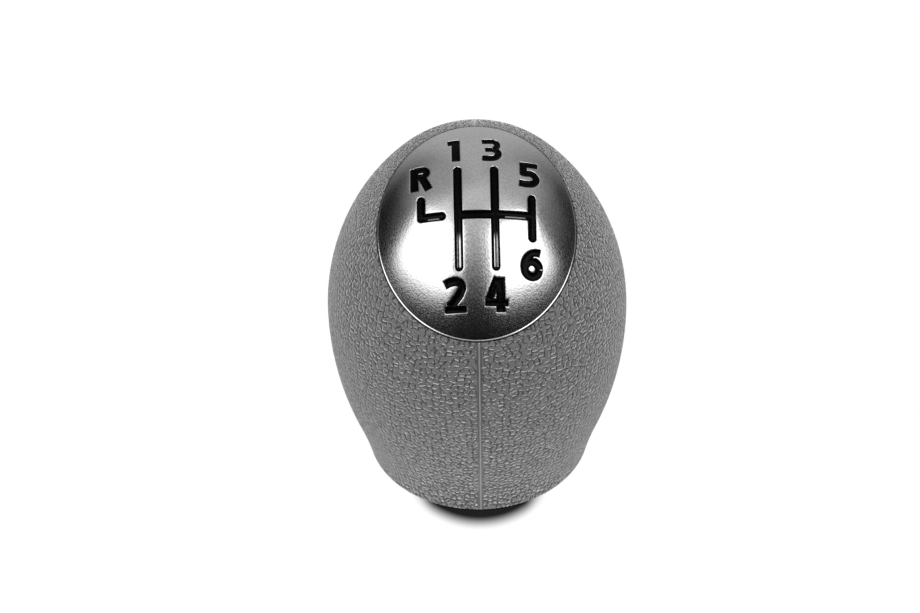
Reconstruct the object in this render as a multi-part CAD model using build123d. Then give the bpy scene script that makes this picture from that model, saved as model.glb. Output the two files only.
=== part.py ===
from math import asin, cos, radians, sin, sqrt
import os

from build123d import *

# Gear shift knob: a grained soft skin moulded round a ribbed core, with a domed, chromed gate
# cap let into a slanted seat on the driver's side, and a split bush for the shift lever.
# Millimetres, +Z up the lever. The origin is on the lever's axis, level with the foot.
# The driver looks along +Y and down on to the cap, so the seat faces -Y and upwards.

# Outside form, turned about the lever's axis from four arcs that run into each other
grip_height = 66.5
widest_radius = 26.0
widest_height = 31.2
crown_radius = 20.2
flank_radius = 65.0
waist_radius = 80.0
waist_height = 9.6
foot_round = 0.9

# Layers of the grip, and the skin's lip that turns in under the core
skin_wall = 2.2
core_wall = 2.3
lip_height = 1.6

# Slanted seat: its lean, how far under the crown its plane crosses the lever's axis, and how
# deep the cap sits in it
seat_lean = 35.7
seat_drop = 5.4
seat_depth = 2.0
deck_thickness = 1.8

# Gate cap
cap_wall = 2.2
cap_gap = 0.18
cap_edge_round = 0.5

# Engraved gate: four columns, numbered 1 to 6 and R, with the neutral channel across them
column_pitch = 6.1
slot_width = 1.4
neutral_offset = 1.1
main_reach_up = 7.9
main_reach_down = 8.3
short_reach_up = 3.0
short_reach_down = 3.5
reverse_reach_up = 3.0
reverse_reach_across = 3.4
gate_depth = 0.9
enamel_thickness = 0.35

# Snap legs of the cap, one on each side and one at the front, and two locating pegs behind
leg_width = 5.0
leg_thickness = 1.6
leg_clearance = 0.15
hook_reach = 0.8
hook_height = 1.8
hook_gap = 0.1
side_leg_offset = 12.0
front_leg_offset = 14.4
peg_radius = 1.3
peg_length = 3.0
peg_clearance = 0.1
peg_spacing = 9.0
peg_offset = 11.5

# Hub and ribs under the seat
hub_wall = 2.0
hub_foot = 10.0
rib_count = 4
rib_thickness = 2.0
first_rib_angle = 45.0
lightening_radius = 4.0
lightening_depth = 4.0
lightening_offset = 3.0

# Lever bush, its split end and the spring ring round it
lever_radius = 6.0
lever_depth = 40.2
bush_wall = 1.4
bush_end_wall = 1.5
bush_clearance = 0.05
bush_foot = 2.5
mouth_chamfer = 0.6
flange_width = 1.5
flange_thickness = 1.5
split_count = 4
split_width = 1.2
key_width = 2.4
key_rise = 1.0
key_length = 14.0
ring_wire_radius = 0.8
ring_groove_depth = 0.5
ring_clearance = 0.05
ring_height = 5.4
ring_opening = 30.0

# Long enough to pass through the whole knob
through = 3 * grip_height
upright = (Align.CENTER, Align.CENTER, Align.MIN)


# Outside form

flank_centre = Vector(widest_radius - flank_radius, widest_height)
shoulder_radius = (
    crown_radius**2 - widest_radius**2 - (grip_height - widest_height - crown_radius) ** 2
) / (2 * (crown_radius - widest_radius))
shoulder_centre = Vector(widest_radius - shoulder_radius, widest_height)
crown_centre = Vector(0, grip_height - crown_radius)
crown_way = (crown_centre - shoulder_centre).normalized()
waist_angle = asin((waist_height - widest_height) / flank_radius)
waist_way = Vector(cos(waist_angle), sin(waist_angle))
waist_centre = flank_centre + waist_way * (flank_radius + waist_radius)


def foot_radius(inset, height):
    """Radius at a height below the waist of the form drawn in by inset."""
    drop = height - waist_centre.Y
    return waist_centre.X - sqrt((waist_radius + inset) ** 2 - drop**2)


def grip_form(inset, floor):
    """The turned outside form, drawn in by inset and cut off level at floor."""
    foot = Vector(foot_radius(inset, floor), floor)
    waist = flank_centre + waist_way * (flank_radius - inset)
    widest = Vector(widest_radius - inset, widest_height)
    shoulder = shoulder_centre + crown_way * (shoulder_radius - inset)
    top = Vector(0, grip_height - inset)
    outline = [
        Line((0, floor), foot),
        TangentArc(waist, foot, tangent=(waist_way.Y, -waist_way.X)),
        TangentArc(widest, waist, tangent=(0, -1)),
        TangentArc(widest, shoulder, tangent=(0, 1)),
        TangentArc(top, shoulder, tangent=(1, 0)),
        Line(top, (0, floor)),
    ]
    return revolve(Plane.XZ * make_face(outline), Axis.Z)


# Slanted seat, with its frame at the middle of the oval that its plane cuts from the grip

seat_way = (0, -sin(radians(seat_lean)), cos(radians(seat_lean)))
crossing_plane = Plane(origin=(0, 0, grip_height - seat_drop), x_dir=(1, 0, 0), z_dir=seat_way)
seat_cut = section(grip_form(0, 0), section_by=crossing_plane)
seat_box = crossing_plane.to_local_coords(seat_cut).bounding_box()
seat_middle = crossing_plane.from_local_coords(Vector(0, seat_box.center().Y))
seat_plane = Plane(origin=seat_middle, x_dir=(1, 0, 0), z_dir=seat_way)
deck_plane = seat_plane.offset(-seat_depth)
underside_plane = deck_plane.offset(-deck_thickness)
oval_x = seat_box.size.X / 2
oval_y = seat_box.size.Y / 2


def cap_prism(inset):
    """The cap's oval, drawn in by inset, from the deck to well above the crown."""
    return extrude(deck_plane * Ellipse(oval_x - inset, oval_y - inset), through)


def space_above(plane):
    return extrude(plane * Rectangle(through, through), through)


# Gate, drawn on the seat from its middle

column_x = [column_pitch * (place - 1.5) for place in range(4)]


def upright_channel(x, low, high):
    slot = Rot(0, 0, 90) * SlotCenterToCenter(high - low, slot_width)
    return Pos(x, neutral_offset + (low + high) / 2) * slot


def level_channel(start_x, end_x):
    slot = SlotCenterToCenter(end_x - start_x, slot_width)
    return Pos((start_x + end_x) / 2, neutral_offset) * slot


gate_outline = (
    upright_channel(column_x[1], -main_reach_down, main_reach_up)
    + upright_channel(column_x[2], -main_reach_down, main_reach_up)
    + upright_channel(column_x[3], -short_reach_down, short_reach_up)
    + level_channel(column_x[1], column_x[3])
)
reverse_outline = upright_channel(column_x[0], 0, reverse_reach_up) + level_channel(
    column_x[0], column_x[0] + reverse_reach_across
)


def engraving(outline, floor_inset):
    """A gate outline cut down to a depth under the cap's surface."""
    return extrude(deck_plane * outline, through) - grip_form(floor_inset, 0)


# Cap, with its snap legs and pegs

# Each leg's place on the seat, turned so that its hook points outwards
leg_places = [
    Pos(side_leg_offset, 0),
    Pos(-side_leg_offset, 0) * Rot(0, 0, 180),
    Pos(0, -front_leg_offset) * Rot(0, 0, -90),
]
peg_places = [Pos(side * peg_spacing / 2, peg_offset) for side in (-1, 1)]
hook_top = -seat_depth - deck_thickness - hook_gap
leg_foot = hook_top - hook_height
leg_hole_depth = leg_clearance - leg_foot - seat_depth


def snap_leg():
    """A leg with an outward hook, drawn from the side and given its width."""
    face = leg_thickness / 2
    outline = Polyline(
        (-face, through / 2),
        (-face, leg_foot),
        (face, leg_foot),
        (face + hook_reach, hook_top),
        (face, hook_top),
        (face, through / 2),
        close=True,
    )
    return extrude(Plane.XZ * make_face(outline), leg_width / 2, both=True)


def make_gate_cap():
    dome = grip_form(0, 0) & cap_prism(cap_gap)
    deck_side = dome.faces().sort_by(Axis(seat_plane.origin, seat_plane.z_dir))[0]
    wall = [face for face in dome.faces() if face.geom_type == GeomType.EXTRUSION][0]
    rim = [edge for edge in wall.edges() if edge.length > oval_x and edge not in deck_side.edges()]
    dome = fillet(rim, cap_edge_round)
    dome -= grip_form(cap_wall, 0) & cap_prism(cap_gap + cap_wall)

    # Legs and pegs run up into the dome's wall and stop inside it
    inside = grip_form(cap_wall / 2, 0)
    for place in leg_places:
        dome += seat_plane * place * snap_leg() & inside
    for place in peg_places:
        peg = extrude(deck_plane.offset(-peg_length) * place * Circle(peg_radius), through)
        dome += peg & inside
    return dome - engraving(gate_outline, gate_depth) - engraving(reverse_outline, gate_depth)


def make_enamel(outline):
    """The black enamel on the floor of an engraved outline."""
    surface = grip_form(gate_depth - enamel_thickness, 0)
    return engraving(outline, gate_depth) & surface


# Grip

bush_radius = lever_radius + bush_wall
bush_top = bush_foot + lever_depth + bush_end_wall
hub_radius = bush_radius + bush_clearance + hub_wall


def make_grip_skin():
    body = grip_form(0, 0)
    foot_edge = body.edges().group_by(Axis.Z)[0]
    body = fillet(foot_edge, foot_round)
    body -= grip_form(skin_wall, lip_height)
    opening = foot_radius(skin_wall + core_wall, lip_height)
    body -= Cylinder(opening, lip_height, align=upright)
    return body - cap_prism(0)


def make_grip_core():
    cavity = grip_form(skin_wall + core_wall, lip_height) - space_above(underside_plane)
    hub = Pos(0, 0, hub_foot) * Cylinder(hub_radius, through, align=upright)
    cavity -= hub
    rib = Pos(0, 0, hub_foot) * Box(2 * widest_radius, rib_thickness, through, align=upright)
    for turn in range(rib_count // 2):
        cavity -= Rot(0, 0, first_rib_angle + 360 / rib_count * turn) * rib
    body = grip_form(skin_wall, lip_height) - space_above(deck_plane) - cavity

    # Socket for the bush and its two keys
    socket = Cylinder(bush_radius + bush_clearance, bush_top + bush_clearance, align=upright)
    body -= socket
    body -= bush_keys(bush_clearance)

    # Holes in the deck for the cap's legs, with room on the inner side for a leg to spring back
    leg_hole = Rectangle(
        leg_thickness + hook_reach + 2 * leg_clearance, leg_width + 2 * leg_clearance
    )
    for place in leg_places:
        hole = place * Pos(-hook_reach / 2, 0) * leg_hole
        body -= extrude(deck_plane * hole, -leg_hole_depth)
    for place in peg_places:
        hole = place * Circle(peg_radius + peg_clearance)
        body -= extrude(deck_plane * hole, -peg_length - peg_clearance)
    pocket = Pos(0, lightening_offset) * Circle(lightening_radius)
    return body - extrude(deck_plane * pocket, -lightening_depth)


# Lever bush and spring ring

ring_radius = bush_radius - ring_groove_depth + ring_clearance + ring_wire_radius


def bush_keys(clearance):
    """Two keys that stop the bush turning in the hub, grown by a clearance."""
    span = 2 * (bush_radius + key_rise + clearance)
    keys = Box(span, key_width + 2 * clearance, key_length + clearance, align=upright)
    return Pos(0, 0, hub_foot) * keys


def ring_wire(wire_radius, arc):
    wire = Plane.XZ * Pos(ring_radius, ring_height) * Circle(wire_radius)
    return revolve(wire, Axis.Z, revolution_arc=arc)


def make_lever_bush():
    flange_foot = hub_foot - flange_thickness
    flange = Cylinder(bush_radius + flange_width, flange_thickness, align=upright)
    body = Pos(0, 0, bush_foot) * Cylinder(bush_radius, bush_top - bush_foot, align=upright)
    body += Pos(0, 0, flange_foot) * flange
    body += bush_keys(0)
    body -= Pos(0, 0, bush_foot) * Cylinder(lever_radius, lever_depth, align=upright)
    mouth = Cone(lever_radius + mouth_chamfer, lever_radius, mouth_chamfer, align=upright)
    body -= Pos(0, 0, bush_foot) * mouth
    body -= ring_wire(ring_wire_radius + ring_clearance, 360)
    split = Box(through, split_width, flange_foot - bush_foot, align=upright)
    for turn in range(split_count // 2):
        angle = first_rib_angle + 360 / split_count * turn
        body -= Rot(0, 0, angle) * Pos(0, 0, bush_foot) * split
    return body


def make_spring_ring():
    # The ring opens towards the back
    return Rot(0, 0, 90 + ring_opening / 2) * ring_wire(ring_wire_radius, 360 - ring_opening)


pieces = {
    "grip_skin": make_grip_skin(),
    "grip_core": make_grip_core(),
    "gate_cap": make_gate_cap(),
    "gate_enamel": make_enamel(gate_outline),
    "reverse_enamel": make_enamel(reverse_outline),
    "lever_bush": make_lever_bush(),
    "spring_ring": make_spring_ring(),
}

os.makedirs("parts", exist_ok=True)
for name, piece in pieces.items():
    export_step(piece, f"parts/{name}.step")
    print(name, len(piece.solids()), "solid", round(piece.volume), "mm3")
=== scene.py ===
# %% [markdown]
# # A gear shift knob
#
# The knob is an upright egg with a soft, grained skin. A satin chromed cap is let into a slanted
# seat on the driver's side and is engraved with the gate: R and 1 to 6. Under the skin are a
# ribbed core, a split bush for the lever and a spring ring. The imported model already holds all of
# these as solids. Here the skin and the cap are made again with their fine shapes, the engraving
# is filled with enamel, and every surface gets its finish.

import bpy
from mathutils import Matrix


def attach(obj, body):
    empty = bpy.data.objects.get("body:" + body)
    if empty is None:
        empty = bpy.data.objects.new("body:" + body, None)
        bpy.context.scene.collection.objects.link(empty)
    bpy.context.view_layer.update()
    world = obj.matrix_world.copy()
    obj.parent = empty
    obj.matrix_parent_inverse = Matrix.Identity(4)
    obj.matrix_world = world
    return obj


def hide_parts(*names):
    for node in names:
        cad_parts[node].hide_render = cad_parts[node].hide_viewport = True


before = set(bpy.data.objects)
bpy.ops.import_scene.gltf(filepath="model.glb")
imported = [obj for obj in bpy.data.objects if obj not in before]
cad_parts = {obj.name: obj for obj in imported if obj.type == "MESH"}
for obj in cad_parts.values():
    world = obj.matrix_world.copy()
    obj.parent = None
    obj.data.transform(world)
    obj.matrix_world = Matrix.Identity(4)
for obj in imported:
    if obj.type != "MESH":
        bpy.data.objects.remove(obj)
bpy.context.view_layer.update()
print("solids:", sorted(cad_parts))

# %% What the script needs
from math import asin, atan2, cos, degrees, pi, radians, sin, sqrt

import bmesh
import bpy
import numpy as np
from mathutils import Matrix, Vector, geometry

MM = 0.001

# %% [markdown]
# ## The outside form
#
# A turned form is easiest to keep exact as arcs in a half plane: radius across, height up. The
# egg has a hollow waist above its foot, then a flank, a shoulder and a crown, each running into
# the next without a corner. With a rule for how far inside the form a point lies, any surface that
# follows the egg at a depth, such as the cap's dome or the floor of an engraving, can be found by
# walking along a line until that depth is reached.

# %% Sizes of the form, in millimetres
grip_height = 66.5
widest_radius = 26.0
widest_height = 31.2
crown_radius = 20.2
flank_radius = 65.0
waist_radius = 80.0
waist_height = 9.6
foot_round = 0.9
skin_wall = 2.2
core_wall = 2.3
lip_height = 1.6

shoulder_radius = (
    crown_radius**2 - widest_radius**2 - (grip_height - widest_height - crown_radius) ** 2
) / (2 * (crown_radius - widest_radius))
flank_centre = np.array([widest_radius - flank_radius, widest_height])
shoulder_centre = np.array([widest_radius - shoulder_radius, widest_height])
crown_centre = np.array([0.0, grip_height - crown_radius])
crown_turn = atan2(*(crown_centre - shoulder_centre)[::-1])
waist_turn = asin((waist_height - widest_height) / flank_radius)
waist_way = np.array([cos(waist_turn), sin(waist_turn)])
waist_centre = flank_centre + waist_way * (flank_radius + waist_radius)
print(f"shoulder radius {shoulder_radius:.2f} mm, shoulder runs {degrees(crown_turn):.1f} degrees")

# %% How far inside the form a point lies
def form_depth(radius, height):
    """Depth under the outside form, in millimetres, at a radius and a height."""
    def away(centre):
        return np.hypot(radius - centre[0], height - centre[1])

    def turn(centre):
        return np.arctan2(height - centre[1], radius - centre[0])

    crown = crown_radius - away(crown_centre)
    shoulder = shoulder_radius - away(shoulder_centre)
    flank = flank_radius - away(flank_centre)
    waist = away(waist_centre) - waist_radius
    upper = np.where(turn(crown_centre) > crown_turn, crown, shoulder)
    lower = np.where(turn(flank_centre) > waist_turn, flank, waist)
    return np.where(height >= widest_height, upper, lower)


# %% The slanted seat
seat_lean = radians(35.7)
seat_drop = 5.4
seat_depth = 2.0
seat_up = np.array([0.0, -sin(seat_lean), cos(seat_lean)])
seat_back = np.array([0.0, cos(seat_lean), sin(seat_lean)])
seat_right = np.array([1.0, 0.0, 0.0])
crossing = np.array([0.0, 0.0, grip_height - seat_drop])


def halve(is_inside, near, far):
    """The point between near and far where is_inside turns false, found by halving."""
    near = np.array(near, float)
    far = np.array(far, float)
    for _ in range(45):
        middle = (near + far) / 2
        inside = is_inside(middle)
        near = np.where(inside, middle, near)
        far = np.where(inside, far, middle)
    return near


def depth_at(points):
    return form_depth(np.hypot(points[..., 0], points[..., 1]), points[..., 2])


def seat_edge(way, other):
    """How far the seat's plane reaches from points `other` on it, in a direction, to the form."""
    def is_inside(distance):
        return depth_at(other + distance[..., None] * way) > 0

    return halve(is_inside, np.zeros(len(other)), np.full(len(other), 60.0))


reach_back = seat_edge(seat_back, crossing[None])[0]
reach_front = seat_edge(-seat_back, crossing[None])[0]
seat_centre = crossing + seat_back * (reach_back - reach_front) / 2
oval_y = (reach_back + reach_front) / 2
along = np.linspace(-0.5, 0.5, 2001)[:, None] * oval_y
oval_x = seat_edge(seat_right, seat_centre + along * seat_back).max()
print(f"the seat's oval is {2 * oval_x:.2f} by {2 * oval_y:.2f} mm, centre {seat_centre.round(2)}")


# %% From the seat to the form and back
def on_seat(x, y, above=0.0):
    """Points at x and y on the seat's plane, raised above it."""
    x, y, above = np.broadcast_arrays(np.asarray(x, float), y, above)
    return (
        seat_centre
        + x[..., None] * seat_right
        + y[..., None] * seat_back
        + above[..., None] * seat_up
    )


def dome_height(x, y, inset=0.0):
    """How high over the seat's plane the form stands, drawn in by an inset."""
    x, y, inset = np.broadcast_arrays(np.asarray(x, float), y, inset)
    return halve(
        lambda above: depth_at(on_seat(x, y, above)) > inset,
        np.full(x.shape, -7.0),
        np.full(x.shape, 14.0),
    )


# %% [markdown]
# ## Making a piece
#
# Points and faces are worked out as plain arrays in millimetres. One helper turns them into a
# Blender mesh in metres, merges points that fall together, turns all faces outwards, marks real
# corners as sharp, hangs it on the knob's body and hides the solids that it replaces.

# %% The helper for pieces
def make_piece(name, points, faces, finish, replaced=(), corner=35.0):
    """A closed piece that rides on the knob's body."""
    shape = bmesh.new()
    made = [shape.verts.new(Vector(p) * MM) for p in np.asarray(points, float).tolist()]
    for face in faces:
        shape.faces.new([made[i] for i in face])
    bmesh.ops.remove_doubles(shape, verts=shape.verts, dist=1e-7)
    bmesh.ops.dissolve_degenerate(shape, edges=shape.edges, dist=1e-8)
    bmesh.ops.recalc_face_normals(shape, faces=shape.faces)
    loose = sum(1 for edge in shape.edges if len(edge.link_faces) != 2)
    mesh = bpy.data.meshes.new(name)
    shape.to_mesh(mesh)
    shape.free()
    mesh.shade_smooth()
    mesh.set_sharp_from_angle(angle=radians(corner))
    piece = bpy.data.objects.new(name, mesh)
    bpy.context.scene.collection.objects.link(piece)
    mesh.materials.append(finish)
    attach(piece, "root")
    if replaced:
        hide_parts(*replaced)
    mesh.calc_loop_triangles()
    print(f"{name}: {len(mesh.loop_triangles)} triangles, {loose} open edges")
    return piece


def ring_faces(first, second, count):
    """Four-sided faces between two closed rings of points, given by their first numbers."""
    return [
        (first + i, first + (i + 1) % count, second + (i + 1) % count, second + i)
        for i in range(count)
    ]


# %% [markdown]
# ## Shader sums as Python
#
# A material's grain is a small calculation for each point of the surface. Blender does it with
# nodes, but written as Python it can be read. `Wire` stands for the output of a node and knows
# plus, minus, times and abs. `Bench` is the sheet that the nodes lie on.

# %% A wire and a bench
class Wire:
    """The output of a node, which Python's operators join to others."""

    def __init__(self, bench, socket):
        self.bench = bench
        self.socket = socket

    def other(self, name):
        """Another output of the same node."""
        return Wire(self.bench, self.socket.node.outputs[name])

    def maths(self, operation, *values):
        return self.bench.node("ShaderNodeMath", {"operation": operation}, dict(enumerate(values)))

    def __add__(self, other):
        return self.maths("ADD", self, other)

    def __radd__(self, other):
        return self.maths("ADD", other, self)

    def __sub__(self, other):
        return self.maths("SUBTRACT", self, other)

    def __rsub__(self, other):
        return self.maths("SUBTRACT", other, self)

    def __mul__(self, other):
        return self.maths("MULTIPLY", self, other)

    def __rmul__(self, other):
        return self.maths("MULTIPLY", other, self)

    def __abs__(self):
        return self.maths("ABSOLUTE", self)


class Bench:
    """The node tree of one finish, or of the room."""

    def __init__(self, tree):
        self.tree = tree
        tree.nodes.clear()

    def node(self, kind, settings=None, sockets=None, output=0):
        """Makes a node, sets it, fills its sockets with values or wires, and gives one output."""
        made = self.tree.nodes.new(kind)
        for name, value in (settings or {}).items():
            setattr(made, name, value)
        for name, value in (sockets or {}).items():
            if isinstance(value, Wire):
                self.tree.links.new(value.socket, made.inputs[name])
            else:
                made.inputs[name].default_value = value
        return Wire(self, made.outputs[output]) if len(made.outputs) else None

    def rise(self, value, low, high):
        """0 under low and 1 over high, with a soft step between them."""
        return self.node(
            "ShaderNodeMapRange",
            {"interpolation_type": "SMOOTHSTEP"},
            {"Value": value, "From Min": low, "From Max": high},
        )

    def scaled(self, vector, factor):
        return self.node(
            "ShaderNodeVectorMath", {"operation": "SCALE"}, {"Vector": vector, "Scale": factor}
        )

    def stretched(self, vector, factors):
        return self.node(
            "ShaderNodeVectorMath", {"operation": "MULTIPLY"}, {0: vector, 1: factors}
        )

    def length(self, vector):
        return self.node("ShaderNodeVectorMath", {"operation": "LENGTH"}, {0: vector}, 1)

    def tint(self, tone):
        """A colour without hue, as bright as a wire says."""
        return self.node("ShaderNodeCombineColor", {}, {0: tone, 1: tone, 2: tone})

    def place(self):
        """Where a point of the piece is, in millimetres."""
        return self.scaled(self.node("ShaderNodeTexCoord", output="Object"), 1 / MM)

    def noise(self, place, scale, detail=2.0, roughness=0.5, output=0):
        sockets = {"Vector": place, "Scale": scale, "Detail": detail, "Roughness": roughness}
        return self.node("ShaderNodeTexNoise", {}, sockets, output)

    def bump(self, height, depth_mm, normal=None):
        sockets = {"Height": height, "Distance": depth_mm * MM}
        if normal is not None:
            sockets["Normal"] = normal
        return self.node("ShaderNodeBump", {}, sockets)


def grey(value):
    """A colour without hue, from a number."""
    return (value, value, value, 1.0)


def new_finish(name):
    material = bpy.data.materials.new(name)
    material.use_nodes = True
    return material, Bench(material.node_tree)


def close_finish(bench, sockets):
    """Sends everything to the surface."""
    surface = bench.node("ShaderNodeBsdfPrincipled", {}, sockets)
    bench.node("ShaderNodeOutputMaterial", {}, {"Surface": surface})


# %% [markdown]
# ## The skin's grain
#
# The skin is moulded with a fine leather-like grain: raised pebbles and short worms of about a
# millimetre, with thin valleys between them. The skin is unrolled first, into a length round the
# axis and a length up the side, so that the valleys stand square to the surface. A Voronoi pattern
# gives cells there, and its distance to the nearest edge gives the valleys, whose colour is
# darkened as painted shade. One noise bends the cells, so that none has straight sides, and another
# fills up some valleys, so that neighbours join to worms. Towards the foot the grain gets finer and
# its valleys wider, and the pebble tops are a little lighter in colour. The parting line of the
# mould runs up the front and the back, and the grain stops short of it. The line has a painted
# highlight along its crest and a painted shadow along both sides. Sheen lightens the skin where it
# turns away, as soft rubber does.

# %% Grey grained skin
cell_size = 1.0
valley_width = 0.31
valley_fill = 0.3
grain_depth, pit_depth = 0.38, 0.03
parting_band = 0.4
unroll_centre, unroll_across, unroll_up = 30.0, 24.0, 28.0

skin_finish, bench = new_finish("grained_grey_skin")
place = bench.place()
across = bench.node("ShaderNodeSeparateXYZ", {}, {0: place})
height = across.other("Z")
from_axis = bench.length(bench.stretched(place, (1, 1, 0)))
round_axis = across.maths("ARCTAN2", across, 0.0 - across.other("Y")) * unroll_across
up_side = across.maths("ARCTAN2", height - unroll_centre, from_axis) * unroll_up
unrolled = bench.node("ShaderNodeCombineXYZ", {}, {0: round_axis, 1: up_side})
spread = bench.scaled(unrolled, 1.06 - bench.rise(height, 4.0, 40.0) * 0.06)
bend = bench.scaled(bench.noise(spread, 0.9, 1.0, output=1), 0.55)
bent = bench.node("ShaderNodeVectorMath", {"operation": "ADD"}, {0: spread, 1: bend})
edge = bench.node(
    "ShaderNodeTexVoronoi",
    {"voronoi_dimensions": "2D", "feature": "DISTANCE_TO_EDGE"},
    {"Vector": bent, "Scale": 1 / cell_size, "Randomness": 0.85},
)
joined = bench.rise(bench.noise(spread, 1.3, 0.0), 0.55, 0.62)
near_foot = 1.0 - bench.rise(height, 8.0, 34.0)
valley = (edge * cell_size + joined * valley_fill) * (1.0 - near_foot * 0.4)
aside = abs(across)
grained = bench.rise(aside, parting_band * 0.6, parting_band * 1.6)
relief = 1.0 - (1.0 - bench.rise(valley, 0.0, valley_width)) * grained
# Painted shade: this mask darkens the base colour in the grain's valleys, through the tone below.
shade = 1.0 - (1.0 - bench.rise(valley, 0.04, valley_width * 0.8)) * grained
pits = bench.noise(place, 5.5, 3.0, 0.65)
mottle = bench.noise(place, 0.16, 2.0)
tone = 0.002 + shade * (0.14 + near_foot * 0.05) + mottle * 0.02 + pits * 0.014
# Painted highlight: a pale line along the parting line's crest.
painted_ridge_highlight = 1.0 - bench.rise(aside, 0.04, 0.11)
# Painted shadow: a darker band along both sides of the parting line, a little off its middle.
off_ridge = abs(across - 0.05)
painted_ridge_shadow = bench.rise(off_ridge, 0.1, 0.18) * (1.0 - bench.rise(off_ridge, 0.3, 0.6))
tone = tone * (1.0 - painted_ridge_shadow * 0.5) + painted_ridge_highlight * 0.16
close_finish(bench, {
    "Base Color": bench.tint(tone),
    "Roughness": 0.56 - relief * 0.08,
    "Specular IOR Level": 0.85,
    "Sheen Weight": 1.0,
    "Sheen Roughness": 0.39,
    "Normal": bench.bump(relief, grain_depth, bench.bump(pits, pit_depth)),
})
print("skin finish:", len(skin_finish.node_tree.nodes), "nodes")

# %% [markdown]
# ## The skin
#
# In a plane through the lever's axis, the skin is one closed loop: up the outside, over a small
# round at the cap's pocket, down the pocket's wall, in along its floor, down the inside and round
# the lip at the foot. Many such loops, one for each direction round the axis, make a closed
# shell. The outside runs higher at the back than in front, so each loop divides its own length
# evenly. The mould's parting line is a thin raised ridge, so there the loops stand closer.

# %% Arcs of the outside, and a point at any length along them
def outline_arcs(inset, lowest, foot):
    """Arcs from the lowest point up to the top, as centre, radius, start and sweep."""
    arcs = []
    waist_from = atan2(lowest[1] - waist_centre[1], lowest[0] - waist_centre[0])
    waist_to = pi + waist_turn
    if foot is not None:
        foot_end = atan2(waist_centre[1] - foot[1], waist_centre[0] - foot[0])
        arcs.append((foot, foot_round, -pi / 2, foot_end + pi / 2))
    arcs.append((waist_centre, waist_radius + inset, waist_from, waist_to - waist_from))
    arcs.append((flank_centre, flank_radius - inset, waist_turn, -waist_turn))
    arcs.append((shoulder_centre, shoulder_radius - inset, 0.0, crown_turn))
    arcs.append((crown_centre, crown_radius - inset, crown_turn, pi / 2 - crown_turn))
    return arcs


def outline_point(arcs, lengths):
    """Radius and height at lengths along the arcs."""
    lengths = np.asarray(lengths, float)
    found = np.zeros(lengths.shape + (2,))
    begin = 0.0
    for number, (centre, radius, start, sweep) in enumerate(arcs):
        run = abs(sweep) * radius
        last = number == len(arcs) - 1
        here = (lengths >= begin) & ((lengths <= begin + run) | last)
        turn = start + sweep * (lengths - begin) / run
        spot = np.stack(
            [centre[0] + radius * np.cos(turn), centre[1] + radius * np.sin(turn)], -1
        )
        found[here] = spot[here]
        begin += run
    return found


def arcs_length(arcs):
    return sum(abs(sweep) * radius for _, radius, _, sweep in arcs)


# %% The skin's two outlines
def waist_at(inset, height):
    return waist_centre[0] - sqrt((waist_radius + inset) ** 2 - (height - waist_centre[1]) ** 2)


foot_centre = np.array([waist_at(foot_round, foot_round), foot_round])
foot_way = (waist_centre - foot_centre) / np.linalg.norm(waist_centre - foot_centre)
foot_top = foot_centre + foot_way * foot_round
outer_arcs = outline_arcs(0.0, foot_top, foot_centre)
inner_low = np.array([waist_at(skin_wall, lip_height), lip_height])
inner_arcs = outline_arcs(skin_wall, inner_low, None)
print(f"foot radius {foot_top[0]:.2f} mm, outline {arcs_length(outer_arcs):.1f} mm long")

# %% Directions round the axis, closer at the parting lines
around = 300
ridge_steps = np.array([0.045, 0.09, 0.14, 0.22, 0.4]) / widest_radius
turns = np.linspace(-pi / 2, 1.5 * pi, around, endpoint=False)
near_line = [m + s * step for m in (-pi / 2, pi / 2) for s in (-1, 1) for step in ridge_steps]
turns = np.sort(np.concatenate([turns, np.mod(np.array(near_line) + pi / 2, 2 * pi) - pi / 2]))
columns = len(turns)
sideways = np.stack([np.cos(turns), np.sin(turns), np.zeros(columns)], -1)
print(columns, "columns")


def turned(spots, ways):
    """Radius and height turned to directions round the axis."""
    return spots[..., :1] * ways + np.stack(
        [np.zeros(spots.shape[:-1]), np.zeros(spots.shape[:-1]), spots[..., 1]], -1
    )


# %% Where each loop meets the cap's pocket
def oval_share(points):
    """Under 1 inside the oval of the pocket, over 1 outside."""
    from_centre = points - seat_centre
    return (from_centre[..., 0] / oval_x) ** 2 + (from_centre @ seat_back / oval_y) ** 2


def before_pocket(lengths):
    return oval_share(turned(outline_point(outer_arcs, lengths), sideways)) > 1


rim_length = halve(
    before_pocket, np.full(columns, 30.0), np.full(columns, arcs_length(outer_arcs))
)
print(f"the outside is {rim_length.min():.1f} to {rim_length.max():.1f} mm long up to the pocket")

# %% All rows of the skin
rim_round = 0.22
ridge_width = 0.12
ridge_height = 0.17


def ridge(points):
    """How far the parting line stands out."""
    return ridge_height * np.exp(-((points[..., 0] / ridge_width) ** 2) * 1.2)


foot_rows, up_rows, inside_rows = 7, 150, 26
skin_rows = []
flat_inner = waist_at(skin_wall + core_wall, lip_height)
skin_rows.append(turned(np.tile([flat_inner, 0.0], (columns, 1)), sideways))
foot_run = outer_arcs[0][1] * abs(outer_arcs[0][3])
for share in np.linspace(0, 1, foot_rows):
    spots = outline_point(outer_arcs, np.full(columns, foot_run * share))
    skin_rows.append(turned(spots, sideways))
for share in np.linspace(0, 1, up_rows)[1:]:
    lengths = foot_run + (rim_length - rim_round - foot_run) * share
    row = turned(outline_point(outer_arcs, lengths), sideways)
    out = row * [1, 1, 0] / np.hypot(row[:, 0], row[:, 1])[:, None]
    fade = min(1.0, (1 - share) * 60)
    skin_rows.append(row + out * ridge(row)[:, None] * fade)
for share in (0.3, 0.6, 0.85, 1.0):
    row = turned(outline_point(outer_arcs, rim_length - rim_round * (1 - share)), sideways)
    drop = rim_round * (1 - sqrt(1 - share**2))
    skin_rows.append(row - seat_up * drop)
print(len(skin_rows), "rows up to the pocket")

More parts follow.
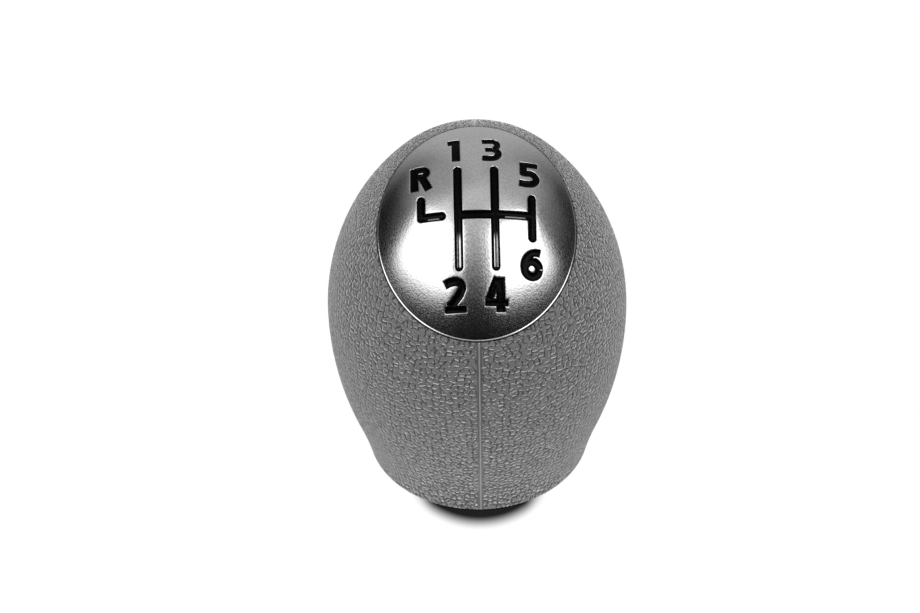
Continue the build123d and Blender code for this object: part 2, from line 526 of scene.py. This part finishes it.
# %% The pocket, the inside and the lip
deck = -seat_depth
skin_rim = skin_rows[-1]
skin_rim_above = (skin_rim - seat_centre) @ seat_up
for share in (0.5, 1.0):
    skin_rows.append(skin_rim - seat_up * ((skin_rim_above - deck) * share)[:, None])
floor_edge = skin_rows[-1]
deck_centre = seat_centre + seat_up * deck
inner_share = halve(
    lambda share: depth_at(deck_centre + (floor_edge - deck_centre) * share[:, None]) > skin_wall,
    np.zeros(columns),
    np.ones(columns),
)
inner_edge = deck_centre + (floor_edge - deck_centre) * inner_share[:, None]
skin_rows.append(inner_edge)
inner_turn = np.unwrap(np.arctan2(inner_edge[:, 1], inner_edge[:, 0]))
inner_turn += np.round((turns - inner_turn) / (2 * pi)) * 2 * pi
inner_length = halve(
    lambda lengths: outline_point(inner_arcs, lengths)[:, 1] < inner_edge[:, 2],
    np.zeros(columns),
    np.full(columns, arcs_length(inner_arcs)),
)
for share in np.linspace(1, 0, inside_rows)[1:]:
    facing = turns + (inner_turn - turns) * share
    ways = np.stack([np.cos(facing), np.sin(facing), np.zeros(columns)], -1)
    skin_rows.append(turned(outline_point(inner_arcs, inner_length * share), ways))
skin_rows.append(turned(np.tile([flat_inner, lip_height], (columns, 1)), sideways))

skin_points = np.concatenate(skin_rows)
skin_faces = []
for number in range(len(skin_rows)):
    above = (number + 1) % len(skin_rows)
    skin_faces += ring_faces(number * columns, above * columns, columns)
make_piece("soft_skin", skin_points, skin_faces, skin_finish, ["grip_skin"])

# %% [markdown]
# ## What is engraved
#
# The gate's channels and the figures are cut into the cap with a round-nosed tool, so each is a
# line drawn with a width. A rule for the distance to such a stroke says, for any point of the cap,
# how far inside or outside the cutting it lies, and that one number is enough for the rounded lip,
# the wall and the floor. Channels end round, and the strokes of figures end square.

# %% The gate's channels
column_pitch = 6.1
slot_half = 0.7
neutral_y = 1.1
column_x = [column_pitch * (number - 1.5) for number in range(4)]


def channel(start, end):
    return (np.array([start, end], float), slot_half, True)


gate_channels = [
    channel((column_x[1], neutral_y - 8.3), (column_x[1], neutral_y + 7.9)),
    channel((column_x[2], neutral_y - 8.3), (column_x[2], neutral_y + 7.9)),
    channel((column_x[3], neutral_y - 3.5), (column_x[3], neutral_y + 3.0)),
    channel((column_x[1], neutral_y), (column_x[3], neutral_y)),
]
reverse_channels = [
    channel((column_x[0], neutral_y), (column_x[0], neutral_y + 3.0)),
    channel((column_x[0], neutral_y), (column_x[0] + 3.4, neutral_y)),
]
print(len(gate_channels), "joined channels,", len(reverse_channels), "for reverse")


# %% The figures, as strokes on the seat
def bow(centre, across, up, start, end):
    """Points along a part of an oval, from one angle to another in degrees."""
    steps = np.radians(np.linspace(start, end, max(4, int(abs(end - start) / 9))))
    return [(centre[0] + across * cos(a), centre[1] + up * sin(a)) for a in steps]


def stroke(points, half):
    return (np.array(points, float), half, False)


figure_strokes = {
    "one": [
        stroke([(-3.24, 10.75), (-3.24, 15.25)], 0.68),
        stroke([(-3.3, 14.7), (-4.6, 14.62)], 0.52),
    ],
    "two": [
        stroke(
            [(-5.5, -9.92), (-4.7, -9.55)]
            + bow((-3.75, -10.4), 1.1, 1.0, 105, -20)
            + [(-3.05, -11.5), (-3.9, -12.5), (-4.75, -13.35)],
            0.7,
        ),
        stroke([(-5.5, -13.65), (-1.9, -13.65)], 0.58),
    ],
    "three": [
        stroke([(1.15, 14.73), (2.2, 14.78)] + bow((2.8, 13.95), 0.88, 0.84, 90, -80), 0.5),
        stroke([(1.68, 13.02), (2.9, 13.02)], 0.46),
        stroke(bow((2.75, 12.15), 1.08, 0.9, 85, -90) + [(2.2, 11.23), (1.15, 11.3)], 0.55),
    ],
    "four": [
        stroke([(3.72, -8.85), (3.72, -14.2)], 0.76),
        stroke([(3.28, -8.95), (1.72, -12.6)], 0.68),
        stroke([(1.15, -12.75), (5.0, -12.75)], 0.56),
    ],
    "five": [
        stroke([(7.35, 10.35), (10.3, 10.35)], 0.5),
        stroke([(7.9, 10.7), (7.9, 8.3)], 0.6),
        stroke(
            [(7.6, 8.75), (8.2, 8.72)]
            + bow((8.85, 7.75), 1.15, 1.0, 100, -95)
            + [(8.1, 6.72), (7.15, 6.85)],
            0.6,
        ),
    ],
    "six": [
        stroke(bow((9.75, -7.0), 2.1, 2.25, 72, 190), 0.6),
        stroke(bow((8.95, -7.35), 1.18, 1.2, 0, 360), 0.68),
    ],
    "reverse": [
        stroke([(-10.2, 5.9), (-10.2, 10.3)], 0.7),
        stroke(
            [(-10.2, 9.87), (-9.3, 9.87)] + bow((-8.98, 9.18), 0.86, 0.69, 90, -90)
            + [(-9.4, 8.49), (-10.2, 8.49)],
            0.56,
        ),
        stroke([(-8.95, 8.4), (-7.8, 5.95)], 0.68),
    ],
}
figure_lines = [line for strokes in figure_strokes.values() for line in strokes]
print(len(figure_lines), "strokes in", len(figure_strokes), "figures")


# %% The distance to a stroke
corner_round = 0.1


def stroke_distance(points, line, half, round_ends):
    """Signed distance to a stroke: under 0 inside it."""
    starts, steps = line[:-1], np.diff(line, axis=0)
    runs = np.linalg.norm(steps, axis=1)
    from_start = points[:, None] - starts
    share = (from_start * steps).sum(-1) / runs**2
    nearest = from_start - np.clip(share, 0, 1)[..., None] * steps
    gaps = np.linalg.norm(nearest, axis=-1)
    distance = gaps.min(1)
    if round_ends:
        return distance - half
    shape = half - corner_round
    result = distance - shape
    closest = gaps.argmin(1)
    for end, inward in ((0, steps[0] / runs[0]), (-1, -steps[-1] / runs[-1])):
        tip = line[end] + inward * corner_round
        offset = points - tip
        before = -(offset @ inward)
        across = np.abs(offset @ np.array([-inward[1], inward[0]]))
        segment = 0 if end == 0 else len(runs) - 1
        at_tip = (closest == segment) & (np.hypot(*offset.T) < 2.5 * half)
        flat = np.maximum(across - shape, before)
        outside = np.hypot(np.maximum(across - shape, 0), np.maximum(before, 0))
        boxed = np.where(flat < 0, flat, outside)
        result = np.where(at_tip & (before > -1.2 * half), np.maximum(boxed, result), result)
    return result - corner_round


def group_distance(points, strokes):
    """Signed distance to the nearest of several strokes, exact up to about a millimetre."""
    points = np.asarray(points, float)
    result = np.full(len(points), 9.0)
    for line, half, round_ends in strokes:
        low, high = line.min(0) - half - 1, line.max(0) + half + 1
        near = ((points > low) & (points < high)).all(1)
        if near.any():
            result[near] = np.minimum(
                result[near], stroke_distance(points[near], line, half, round_ends)
            )
    return result


def figures_distance(points):
    return group_distance(points, figure_lines)


def gate_distance(points):
    return group_distance(points, gate_channels + reverse_channels)


# %% [markdown]
# ## Lines at a set distance
#
# The lip and the wall of the engraving need rows of points that follow its outline exactly. A
# level line of the distance gives such a row. Marching over a fine grid finds where the distance
# passes the level, and a few steps along the slope put each point exactly on it. A Delaunay
# triangulation that must keep these lines then joins everything into one surface.

# %% Level lines
def slope(field, points, step=1e-3):
    right = field(points + [step, 0]) - field(points - [step, 0])
    back = field(points + [0, step]) - field(points - [0, step])
    return np.stack([right, back], -1) / (2 * step)


def level_line(field, level, low, high, step=0.09):
    """Points of a level line and the pairs of points that are joined."""
    xs, ys = np.arange(low[0], high[0], step), np.arange(low[1], high[1], step)
    grid = np.stack(np.meshgrid(xs, ys, indexing="ij"), -1)
    value = field(grid.reshape(-1, 2)).reshape(grid.shape[:2]) - level
    inside = value < 0
    numbers, points = {}, []
    for axis, (di, dj) in enumerate(((1, 0), (0, 1))):
        here = inside[: len(xs) - di, : len(ys) - dj]
        there = inside[di:, dj:]
        for i, j in zip(*np.nonzero(here != there)):
            share = value[i, j] / (value[i, j] - value[i + di, j + dj])
            share = min(max(share, 0.15), 0.85)
            numbers[axis, i, j] = len(points)
            points.append(grid[i, j] + share * (grid[i + di, j + dj] - grid[i, j]))
    joins = []
    corners = inside[:-1, :-1] * 1 + inside[1:, :-1] + inside[:-1, 1:] + inside[1:, 1:]
    for i, j in zip(*np.nonzero((corners > 0) & (corners < 4))):
        sides = [(0, i, j), (1, i + 1, j), (0, i, j + 1), (1, i, j)]
        found = [numbers[side] for side in sides if side in numbers]
        joins += [tuple(found[n:n + 2]) for n in range(0, len(found), 2)]
    points = np.array(points)
    for _ in range(4):
        grade = slope(field, points)
        step_by = (field(points) - level) / np.maximum((grade**2).sum(1), 0.25)
        points -= np.clip(step_by, -0.05, 0.05)[:, None] * grade
    return points, joins


def triangulate(points, joins):
    """A Delaunay triangulation that keeps the given joins."""
    spots, _, faces, *_ = geometry.delaunay_2d_cdt(
        [Vector(p) for p in points.tolist()], joins, [], 0, 1e-5
    )
    return np.array([tuple(s) for s in spots]), faces


# %% [markdown]
# ## The engraving's section
#
# Seen in section, the surface rolls over a small lip, drops down a slightly drafted wall and ends
# on a flat floor. The enamel was poured in and drew down as it dried: it hangs on the walls and is
# lowest in the middle.

# %% Depth of the cut and of the enamel
lip_round = 0.15
lip_outside = 0.12
wall_foot = 0.1
gate_depth = 0.9
figure_depth = 0.55


def cut_depth(inside, floor):
    """Depth of the cutting at a distance inside its outline."""
    over_lip = np.clip(inside + lip_outside, 0, lip_round)
    lip = lip_round - np.sqrt(lip_round**2 - over_lip**2)
    wall_share = np.clip((inside + lip_outside - lip_round) / (wall_foot - 0.03), 0, 1)
    return lip + wall_share * (floor - lip_round)


enamel_edge = 0.05


def enamel_depth(inside, edge_depth, middle_depth, draw=0.5):
    share = np.clip((inside - enamel_edge) / draw, 0, 1)
    return edge_depth + (middle_depth - edge_depth) * (1 - (1 - share) ** 2.2)


# %% [markdown]
# ## Satin chrome
#
# The cap is chromed plastic with a satin surface: it mirrors the lamps as soft white fields, with
# a fine speckle from the blasted tool. Chrome is a metal, so it has no colour of its own but the
# tint of its mirror.

# %% Satin chrome
chrome_finish, bench = new_finish("satin_chrome")
place = bench.place()
speckle = bench.rise(bench.noise(place, 3.2, 2.0, 0.6), 0.38, 0.62)
cloud = bench.noise(place, 0.35, 2.0)
close_finish(bench, {
    "Base Color": bench.tint(0.48 + speckle * 0.075 + cloud * 0.03),
    "Metallic": 1.0,
    "Roughness": 0.18 + speckle * 0.04,
    "Normal": bench.bump(speckle, 0.004),
})
print("chrome finish:", len(chrome_finish.node_tree.nodes), "nodes")

# %% [markdown]
# ## Black enamel
#
# The enamel is very black and weakly glossy, so that only its steep sides mirror the lamps. In the
# lower halves of the two long channels a narrow band and a finer line of metal are painted into
# it, as painted reflections. Short lines of metal are painted in the same way, as painted glints,
# in the foot of the reverse channel and in the neutral channel's right half.

# %% Black enamel
# Where the painted reflections begin and end along the seat, and the short painted glints.
reflection_from, reflection_to = -1.4, -7.2
short_glints = ((-7.1, 1.0), (6.35, 1.75))

enamel_finish, bench = new_finish("black_enamel")
place = bench.place()
flow = bench.noise(place, 1.4, 3.0, 0.6)
across = bench.node("ShaderNodeSeparateXYZ", {}, {0: place})
along_seat = bench.node(
    "ShaderNodeVectorMath", {"operation": "DOT_PRODUCT"}, {0: place, 1: tuple(seat_back)}, 1
) - float(seat_centre @ seat_back)
# Metal painted into the enamel as painted reflections and glints; it mirrors the room.
off_column = across - across.maths("SIGN", across) * column_x[2]
band = 1.0 - bench.rise(abs(off_column - 0.2), 0.1, 0.19)
line = 1.0 - bench.rise(abs(off_column + 0.2), 0.02, 0.09)
painted_reflection = (band * 0.8 + line) * (1.0 - bench.rise(along_seat, reflection_from - 1.8, reflection_from))
painted_reflection = painted_reflection * bench.rise(along_seat, reflection_to, reflection_to + 0.12)
off_neutral = abs(along_seat - (neutral_y - 0.26))
for middle, half in short_glints:
    painted_glint = 1.0 - bench.rise(abs(across - middle), half - 0.2, half)
    painted_reflection = painted_reflection + painted_glint * (1.0 - bench.rise(off_neutral, 0.05, 0.16)) * 0.95
close_finish(bench, {
    "Base Color": bench.tint(0.0012 + painted_reflection * 0.42),
    "Metallic": painted_reflection,
    "Roughness": 0.05 + flow * 0.1,
    "Specular IOR Level": 0.04,
    "Normal": bench.bump(flow, 0.05),
})
print("enamel finish:", len(enamel_finish.node_tree.nodes), "nodes")

# %% [markdown]
# ## The cap
#
# The top of the cap is the egg's own surface, lowered where something is engraved. Its points are
# a loose honeycomb over the oval, the level lines along each lip and wall, and a ring just inside
# the rim. Then rings of points go round the rim, down the outside, back under it and up inside the
# hollow. Three snap legs and two pegs reach down from it into the core.

# %% Points of the cap's top
cap_gap = 0.18
cap_wall = 2.2
rim_width = 0.17
rim_corner = 0.04
rim_count = 400
comb_pitch = 0.6
comb_to_rim, comb_to_cut = 0.8, 0.3
rim_turns = np.linspace(0, 2 * pi, rim_count, endpoint=False)
cap_x, cap_y = oval_x - cap_gap, oval_y - cap_gap
oval = np.stack([cap_x * np.cos(rim_turns), cap_y * np.sin(rim_turns)], -1)
oval_out = np.stack([np.cos(rim_turns) / cap_x, np.sin(rim_turns) / cap_y], -1)
oval_out /= np.linalg.norm(oval_out, axis=1)[:, None]


def dome_slope(points, ways, step=0.05):
    """How steeply the dome falls in given directions, as an angle."""
    high = dome_height(*(points - ways * step).T)
    low = dome_height(*(points + ways * step).T)
    return np.arctan2(high - low, 2 * step)


fall = dome_slope(oval - oval_out * 0.15, oval_out)
top_ring = oval - oval_out * rim_width
near_ring = oval - oval_out * (rim_width + 0.04)
print(f"the dome falls {degrees(fall.min()):.0f} to {degrees(fall.max()):.0f} degrees at the rim")


def any_distance(points):
    return np.minimum(figures_distance(points), gate_distance(points))


low_corner, high_corner = (-12.5, -15.5), (12.5, 16.5)
lip_levels = [-lip_outside, -0.085, -0.045, 0.0, lip_round - lip_outside, wall_foot]
top_points, top_joins = [top_ring, near_ring], []
for first in (0, rim_count):
    top_joins += [(first + i, first + (i + 1) % rim_count) for i in range(rim_count)]
total = 2 * rim_count
for level in lip_levels:
    spots, joins = level_line(any_distance, -level, low_corner, high_corner)
    top_points.append(spots)
    top_joins += [(a + total, b + total) for a, b in joins]
    total += len(spots)
comb_x = np.arange(-cap_x, cap_x, comb_pitch)
comb = np.concatenate([
    np.stack([comb_x + comb_pitch / 2 * (number % 2), np.full_like(comb_x, y)], -1)
    for number, y in enumerate(np.arange(-cap_y, cap_y, comb_pitch * sqrt(3) / 2))
])
comb_oval = np.array([cap_x, cap_y]) - comb_to_rim
well_inside = ((comb / comb_oval) ** 2).sum(-1) < 1
clear = np.abs(any_distance(comb)) > comb_to_cut
top_points.append(comb[well_inside & clear])
spots, top_faces = triangulate(np.concatenate(top_points), top_joins)
print(f"cap top: {len(spots)} points, {len(top_faces)} faces")

# %% Heights of the cap's top
figure_inside, gate_inside = -figures_distance(spots), -gate_distance(spots)
cut = np.where(
    gate_inside > figure_inside,
    cut_depth(gate_inside, gate_depth),
    cut_depth(figure_inside, figure_depth),
)
top = on_seat(*spots.T, dome_height(*spots.T, cut))
ring_numbers = [int(np.argmin(((spots - p) ** 2).sum(1))) for p in top_ring]
print(f"engraved up to {cut.max():.2f} mm deep")

# %% The rim, the wall and the hollow
hollow_rings = 16
cap_points, cap_faces = [top], [tuple(face) for face in top_faces]
count = len(top)
high = dome_height(*top_ring.T)
previous = ring_numbers


def add_ring(points):
    """Adds a ring of points below the last one and joins the two."""
    global count, previous
    numbers = list(range(count, count + len(points)))
    cap_points.append(points)
    for i in range(rim_count):
        j = (i + 1) % rim_count
        cap_faces.append((previous[i], previous[j], numbers[j], numbers[i]))
    previous = numbers
    count += len(points)


def rim_above(inset):
    """Height of the flat rim at a distance in from the oval."""
    return high - (rim_width - inset) * np.tan(rim_lean)


# The rim leans less than the dome, least of all low in front, where it shines as a pale line.
rim_lean = fall * (0.75 - 0.58 * np.maximum(0.0, -np.sin(rim_turns)) ** 5)
corner_inset = rim_corner * (1 - np.sin(rim_lean))
for inset in (np.full(rim_count, rim_width - 0.03), corner_inset + 0.03):
    add_ring(on_seat(*(oval - oval_out * inset[:, None]).T, rim_above(inset)))
for share in np.linspace(0, 1, 5):
    lean = rim_lean + (pi / 2 - rim_lean) * share
    inset = rim_corner * (1 - np.sin(lean))
    above = rim_above(corner_inset) - rim_corner * (np.cos(rim_lean) - np.cos(lean))
    add_ring(on_seat(*(oval - oval_out * inset[:, None]).T, above))
add_ring(on_seat(*oval.T, deck))
inner_oval = oval - oval_out * cap_wall
add_ring(on_seat(*inner_oval.T, deck))
for share in np.linspace(1, 0, hollow_rings):
    ring = inner_oval * max(share, 0.02)
    add_ring(on_seat(*ring.T, dome_height(*ring.T, cap_wall)))
cap_faces.append(tuple(previous))
print(count, "points in the cap's shell")

# %% Snap legs and pegs
leg_half_width, leg_half = 2.5, 0.8
hook_reach, hook_top, leg_foot = 0.8, -3.9, -5.7
leg_places = [((12.0, 0.0), (1.0, 0.0)), ((-12.0, 0.0), (-1.0, 0.0)), ((0.0, -14.4), (0.0, -1.0))]
peg_side, peg_back, peg_foot = 4.5, 11.5, -5.0
peg_radius, peg_bevel, peg_count = 1.3, 0.3, 32


def add_prism(outline):
    """Adds a closed prism between two like outlines, given as rows of points."""
    global count
    first, second = outline
    sides = len(first)
    cap_points.extend([first, second])
    cap_faces.append(tuple(range(count, count + sides)))
    cap_faces.append(tuple(reversed(range(count + sides, count + 2 * sides))))
    cap_faces.extend(ring_faces(count, count + sides, sides))
    count += 2 * sides


for (x, y), (out_x, out_y) in leg_places:
    sides = []
    for side in (-leg_half_width, leg_half_width):
        outline = []
        for out, above in (
            (-leg_half, None), (-leg_half, leg_foot), (leg_half, leg_foot),
            (leg_half + hook_reach, hook_top), (leg_half, hook_top), (leg_half, None),
        ):
            spot = np.array([x + out * out_x - side * out_y, y + out * out_y + side * out_x])
            root = dome_height(spot[0], spot[1], cap_wall / 2) if above is None else above
            outline.append(on_seat(spot[0], spot[1], root))
        sides.append(np.array(outline))
    add_prism(sides)
peg_turns = np.linspace(0, 2 * pi, peg_count, endpoint=False)
peg_ways = np.stack([np.cos(peg_turns), np.sin(peg_turns)], -1)
for side in (-peg_side, peg_side):
    spot = np.array([side, peg_back]) + peg_radius * peg_ways
    tip = spot - peg_bevel * peg_ways
    cap_points.extend([
        on_seat(*spot.T, dome_height(*spot.T, cap_wall / 2)),
        on_seat(*spot.T, peg_foot + peg_bevel),
        on_seat(*tip.T, peg_foot),
    ])
    first, second, third, end = (count + peg_count * number for number in range(4))
    cap_faces.append(tuple(range(first, second)))
    cap_faces += ring_faces(first, second, peg_count) + ring_faces(second, third, peg_count)
    cap_faces.append(tuple(reversed(range(third, end))))
    count = end
make_piece(
    "chromed_cap", np.concatenate(cap_points), cap_faces, chrome_finish, ["gate_cap"]
)


# %% [markdown]
# ## The enamel
#
# The enamel is a body of its own in each channel and figure: its underside lies on the floor of
# the cut, and its top sinks towards the middle. The same level lines as on the cap give it points
# that follow the outline. Slivers that would hang on by one corner are left out.

# %% Enamel in the cuts
enamel_levels = (enamel_edge, 0.1, 0.18, 0.3, 0.45)


def border(faces):
    """The edges that only one face uses."""
    pairs = {pair for face in faces for pair in zip(face, face[1:] + face[:1])}
    return [pair for pair in pairs if pair[::-1] not in pairs]


def pinched_corners(faces):
    """The corners where more than two of those edges meet."""
    corners, met = np.unique(border(faces), return_counts=True)
    return corners[met > 2].tolist()


def area(corners):
    """Area of a triangle."""
    (x1, y1), (x2, y2) = corners[1] - corners[0], corners[2] - corners[0]
    return abs(x1 * y2 - x2 * y1) / 2


def pour_enamel(name, strokes, edge_depth, middle_depth, floor, replaced=()):
    """Fills the cuts of a group of strokes with enamel."""
    def field(points):
        return group_distance(points, strokes)

    lines = np.concatenate([line for line, _, _ in strokes])
    low, high = lines.min(0) - 1, lines.max(0) + 1
    parts, joins, total = [], [], 0
    for level in enamel_levels:
        spots, pairs = level_line(field, -level, low, high)
        if len(spots):
            parts.append(spots)
            joins += [(a + total, b + total) for a, b in pairs]
            total += len(spots)
    spots, faces = triangulate(np.concatenate(parts), joins)
    inside = -field(spots)
    middles = np.array([spots[list(face)].mean(0) for face in faces])
    kept = [face for face, deep in zip(faces, -field(middles)) if deep > enamel_edge - 0.004]
    sunk = enamel_depth(inside, edge_depth, middle_depth)
    upper = on_seat(*spots.T, dome_height(*spots.T, sunk))
    lower = on_seat(*spots.T, dome_height(*spots.T, floor))
    while pinched := pinched_corners(kept):
        for corner in pinched:
            meeting = [face for face in kept if corner in face]
            kept.remove(min(meeting, key=lambda face: area(spots[list(face)])))
    edges = border(kept)
    number = len(spots)
    body = [tuple(face) for face in kept]
    body += [tuple(n + number for n in reversed(face)) for face in kept]
    body += [(b, a, a + number, b + number) for a, b in edges]
    used = sorted({n for face in body for n in face})
    renumbered = {old: new for new, old in enumerate(used)}
    body = [tuple(renumbered[n] for n in face) for face in body]
    points = np.concatenate([upper, lower])[used]
    return make_piece(name, points, body, enamel_finish, replaced, corner=60.0)


pour_enamel("gate_filling", gate_channels, 0.2, 0.6, gate_depth, ["gate_enamel"])
pour_enamel("reverse_filling", reverse_channels, 0.2, 0.6, gate_depth, ["reverse_enamel"])
pour_enamel("figure_filling", figure_lines, 0.16, 0.36, figure_depth)

# %% [markdown]
# ## Finishes of the inner pieces
#
# Core, bush and ring keep their solids. The core is black moulded plastic with a slightly
# sparkling surface, the bush is plain grey plastic, and the ring is drawn spring wire.

# %% Core, bush and ring
def moulded(name, tone, roughness, grain_mm):
    material, bench = new_finish(name)
    place = bench.place()
    grain = bench.noise(place, 1 / grain_mm, 3.0, 0.6)
    cloud = bench.noise(place, 0.12, 2.0)
    close_finish(bench, {
        "Base Color": bench.tint(tone * 0.85 + cloud * (tone * 0.3)),
        "Roughness": roughness + grain * 0.12,
        "Normal": bench.bump(grain, 0.02),
    })
    return material


def dress(node, material):
    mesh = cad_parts[node].data
    mesh.materials.clear()
    mesh.materials.append(material)
    print("dressed", node)


dress("grip_core", moulded("black_core_plastic", 0.03, 0.42, 0.35))
dress("lever_bush", moulded("grey_bush_plastic", 0.3, 0.38, 0.5))

wire_finish, bench = new_finish("spring_wire")
place = bench.place()
drawn = bench.noise(place, 3.0, 4.0, 0.7)
close_finish(bench, {
    "Base Color": grey(0.5),
    "Metallic": 1.0,
    "Roughness": 0.22 + drawn * 0.2,
    "Normal": bench.bump(drawn, 0.01),
})
dress("spring_ring", wire_finish)

# %% [markdown]
# ## The floor
#
# The knob stands on a white floor that ends a little way in front of it, as a sheet of paper
# would. For the knob the floor is plain grey paper. The camera sees it as pure white, by a glow
# for camera rays, and as nearly black paper where the glow fades out round the foot. So the
# shadow there is a painted shadow: a short dark patch in front of the foot, and a narrow band
# behind it. Chrome sees half of that glow and the same painted shadow.

# %% White floor
floor_front, floor_back, floor_side = -62.0, 900.0, 700.0
floor_corners = [
    (-floor_side, floor_front), (floor_side, floor_front),
    (floor_side, floor_back), (-floor_side, floor_back),
]
floor_mesh = bpy.data.meshes.new("floor")
floor_mesh.from_pydata([(x * MM, y * MM, 0) for x, y in floor_corners], [], [(0, 1, 2, 3)])
floor = bpy.data.objects.new("floor", floor_mesh)
bpy.context.scene.collection.objects.link(floor)

floor_finish, bench = new_finish("white_floor")
spot = bench.place()
across = bench.node("ShaderNodeSeparateXYZ", {}, {0: spot})


def round_foot(spot, near, far):
    """1 up to the near distance from the axis and 0 past the far one."""
    return 1.0 - bench.rise(bench.length(spot), near, far)


# Painted shadow: round the foot the glow fades out, in a patch in front and a band behind.
front = round_foot(bench.stretched(spot, (1.45, 1, 1)), 20.9, 24.7)
front = front * (1.0 - bench.rise(abs(across + 0.3), 8.0, 13.0))
front = front * (1.0 - bench.rise(across.other("Y"), -8.0, -4.0))
behind = round_foot(spot, 20.0, 23.0) * bench.rise(across.other("Y"), 3.0, 10.0)
painted_shadow = front + behind * 0.85
path = bench.node("ShaderNodeLightPath", output="Is Camera Ray")
mirrored = path.other("Is Glossy Ray") * 0.5
shown = path.maths("MAXIMUM", mirrored, path.other("Is Transmission Ray"))
shown = path.maths("MAXIMUM", path, shown)
# For camera rays the paper is nearly black, so the painted shadow is dark and only the glow makes
# the rest white.
matt = bench.node("ShaderNodeBsdfDiffuse", {}, {"Color": bench.tint(0.48 - shown * 0.46)})
glow_strength = shown * (1.0 - painted_shadow)
glow = bench.node("ShaderNodeEmission", {}, {"Color": grey(1.0), "Strength": glow_strength})
both = bench.node("ShaderNodeAddShader", {}, {0: matt, 1: glow})
bench.node("ShaderNodeOutputMaterial", {}, {"Surface": both})
floor_mesh.materials.append(floor_finish)
print(f"floor: {2 * floor_side:.0f} by {floor_back - floor_front:.0f} mm")

# %% [markdown]
# ## The room and its light
#
# Satin chrome shows the room, so the room matters more than the brightness of the lamps. A room can
# be written as a rule that gives a brightness for each direction. Two large soft boxes to the left
# and right behind the camera make the two white fields on the cap, each with a paler field above
# it. The ceiling is pale, so are the room behind the knob and a strip of wall on the right, and it
# is dark low down in front, which gives the dark lower edge of the cap. The camera itself sees
# plain white.

# %% Directions in the room
world = bpy.data.worlds.new("studio_room")
bpy.context.scene.world = world
world.use_nodes = True
bench = Bench(world.node_tree)
way = bench.node("ShaderNodeTexCoord", output="Generated")
sideward = bench.node("ShaderNodeSeparateXYZ", {}, {0: way})
azimuth = sideward.maths("ARCTAN2", sideward, 0.0 - sideward.other("Y"))
elevation = sideward.maths("ARCSINE", sideward.other("Z"))
off_front = abs(azimuth)
slanted = elevation + off_front.maths("MINIMUM", off_front - radians(60), 0.0) * 0.07


def over(angle, low, high):
    """0 under an angle of low degrees and 1 over high."""
    return bench.rise(angle, radians(low), radians(high))


def soft_box(middle, half_width):
    """A bright field with soft edges, and a paler one above it."""
    off_middle = abs(azimuth - radians(middle))
    box = (1.0 - over(off_middle, half_width - 8, half_width + 8)) * over(slanted, 5, 18)
    box = box * (1.0 - over(elevation, 36, 52))
    above = (1.0 - over(off_middle, half_width - 14, half_width + 4)) * over(elevation, 30, 45)
    above = above * (1.0 - over(elevation, 58, 70))
    return box * 3.0 + above * 0.45


# %% The room
ceiling = over(elevation, 8, 52) * 0.46 + over(elevation, 60, 85) * 0.12
ceiling = ceiling + (1.0 - over(off_front, 60, 100)) * over(elevation, 20, 50) * 0.28
wall_behind = over(off_front, 115, 168) * 0.64
off_right = abs(azimuth - radians(112))
right_wall = (1.0 - over(off_right, 10, 50)) * over(elevation, 3, 22) * 0.13
room = ceiling.maths("MAXIMUM", ceiling, wall_behind) + right_wall
room = room + soft_box(-50, 29) + soft_box(43, 28)
path = bench.node("ShaderNodeLightPath", output="Is Camera Ray")
plain = path.maths("MAXIMUM", path, path.other("Is Transmission Ray"))
strength = room * (1.0 - plain) + plain
sky = bench.node("ShaderNodeBackground", {}, {"Color": grey(1.0), "Strength": strength})
bench.node("ShaderNodeOutputWorld", {}, {"Surface": sky})
print("room:", len(world.node_tree.nodes), "nodes")

# %% [markdown]
# ## The camera
#
# The photograph looks down at 41 degrees from half a metre with a long lens. The knob stands a
# little to the right of the picture's middle, so the lens is shifted by that much.

# %% Camera
camera_distance = 500.0
camera_rise = radians(41.0)
camera_turn = radians(0.5)
camera_roll = radians(0.76)
picture_width, side_shift = 920, -17.2
aim = Vector((0, 0, 30.7 * MM))
camera_data = bpy.data.cameras.new("camera")
camera = bpy.data.objects.new("camera", camera_data)
bpy.context.scene.collection.objects.link(camera)
bpy.context.scene.camera = camera
camera_data.lens = 112.1
camera_data.sensor_width = 36.0
camera_data.shift_x = side_shift / picture_width
away = Vector((
    -sin(camera_turn) * cos(camera_rise), -cos(camera_turn) * cos(camera_rise), sin(camera_rise)
))
camera.location = aim + away * camera_distance * MM
camera.rotation_mode = "QUATERNION"
upright = away.to_track_quat("Z", "Y")
camera.rotation_quaternion = (
    upright.to_matrix() @ Matrix.Rotation(-camera_roll, 3, "Z")
).to_quaternion()
bpy.context.scene.view_settings.view_transform = "Standard"
print("camera at", [round(value / MM) for value in camera.location], "mm")
